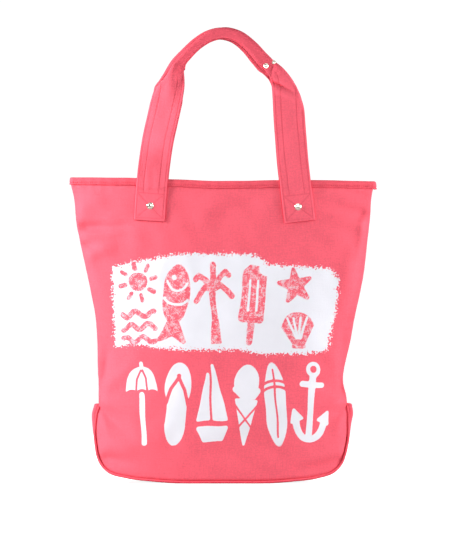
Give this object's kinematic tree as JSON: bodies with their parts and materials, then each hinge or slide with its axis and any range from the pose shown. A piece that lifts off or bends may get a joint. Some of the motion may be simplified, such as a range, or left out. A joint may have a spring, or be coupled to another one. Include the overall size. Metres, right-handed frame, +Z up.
{
  "type": "beach bag",
  "caption": "Canvas beach tote with a bound open mouth, a boat-shaped flat base with piped edges, and two riveted strap handles that swing outwards.",
  "frame": {"origin": "on the ground under the middle of the flat base", "axes": "+Z up, -Y out of the printed front panel, +X to the right as the front is looked at"},
  "size_m": [0.408, 0.116, 0.6069],
  "materials": {
    "canvas": "coral pink plain-weave cotton canvas, matt",
    "binding": "coral pink canvas tape, folded and stitched",
    "seam_tape": "coral pink bias tape over raw seam edges",
    "strap": "coral pink folded canvas strap with edge stitching",
    "rivet_metal": "pale nickel-gold plated, polished dome",
    "print_ink": "matt off-white screen-print ink on the canvas"
  },
  "bodies": {
    "bag": {"front_panel": "canvas", "back_panel": "canvas", "base_gusset": "canvas", "rim_binding": "binding", "front_base_piping": "binding", "back_base_piping": "binding", "front_base_seam_tape": "seam_tape", "back_base_seam_tape": "seam_tape", "left_side_seam_tape": "seam_tape", "right_side_seam_tape": "seam_tape", "front_left_strap_end": "strap", "front_right_strap_end": "strap", "back_left_strap_end": "strap", "back_right_strap_end": "strap", "front_left_inside_patch": "canvas", "front_right_inside_patch": "canvas", "back_left_inside_patch": "canvas", "back_right_inside_patch": "canvas", "anchor_rivet_caps": "rivet_metal", "anchor_rivet_backs": "rivet_metal"},
    "front_handle": {"front_handle_loop": "strap", "front_grip_rivet_caps": "rivet_metal", "front_grip_rivet_backs": "rivet_metal"},
    "back_handle": {"back_handle_loop": "strap", "back_grip_rivet_caps": "rivet_metal", "back_grip_rivet_backs": "rivet_metal"}
  },
  "joints": [
    {"name": "front_handle_swing", "type": "hinge", "parent": "bag", "child": "front_handle", "pos_m": [0, -0.03095, 0.402], "axis": [1, 0, 0], "range_deg": [0, 170]},
    {"name": "back_handle_swing", "type": "hinge", "parent": "bag", "child": "back_handle", "pos_m": [0, 0.03095, 0.402], "axis": [-1, 0, 0], "range_deg": [0, 170]}
  ]
}
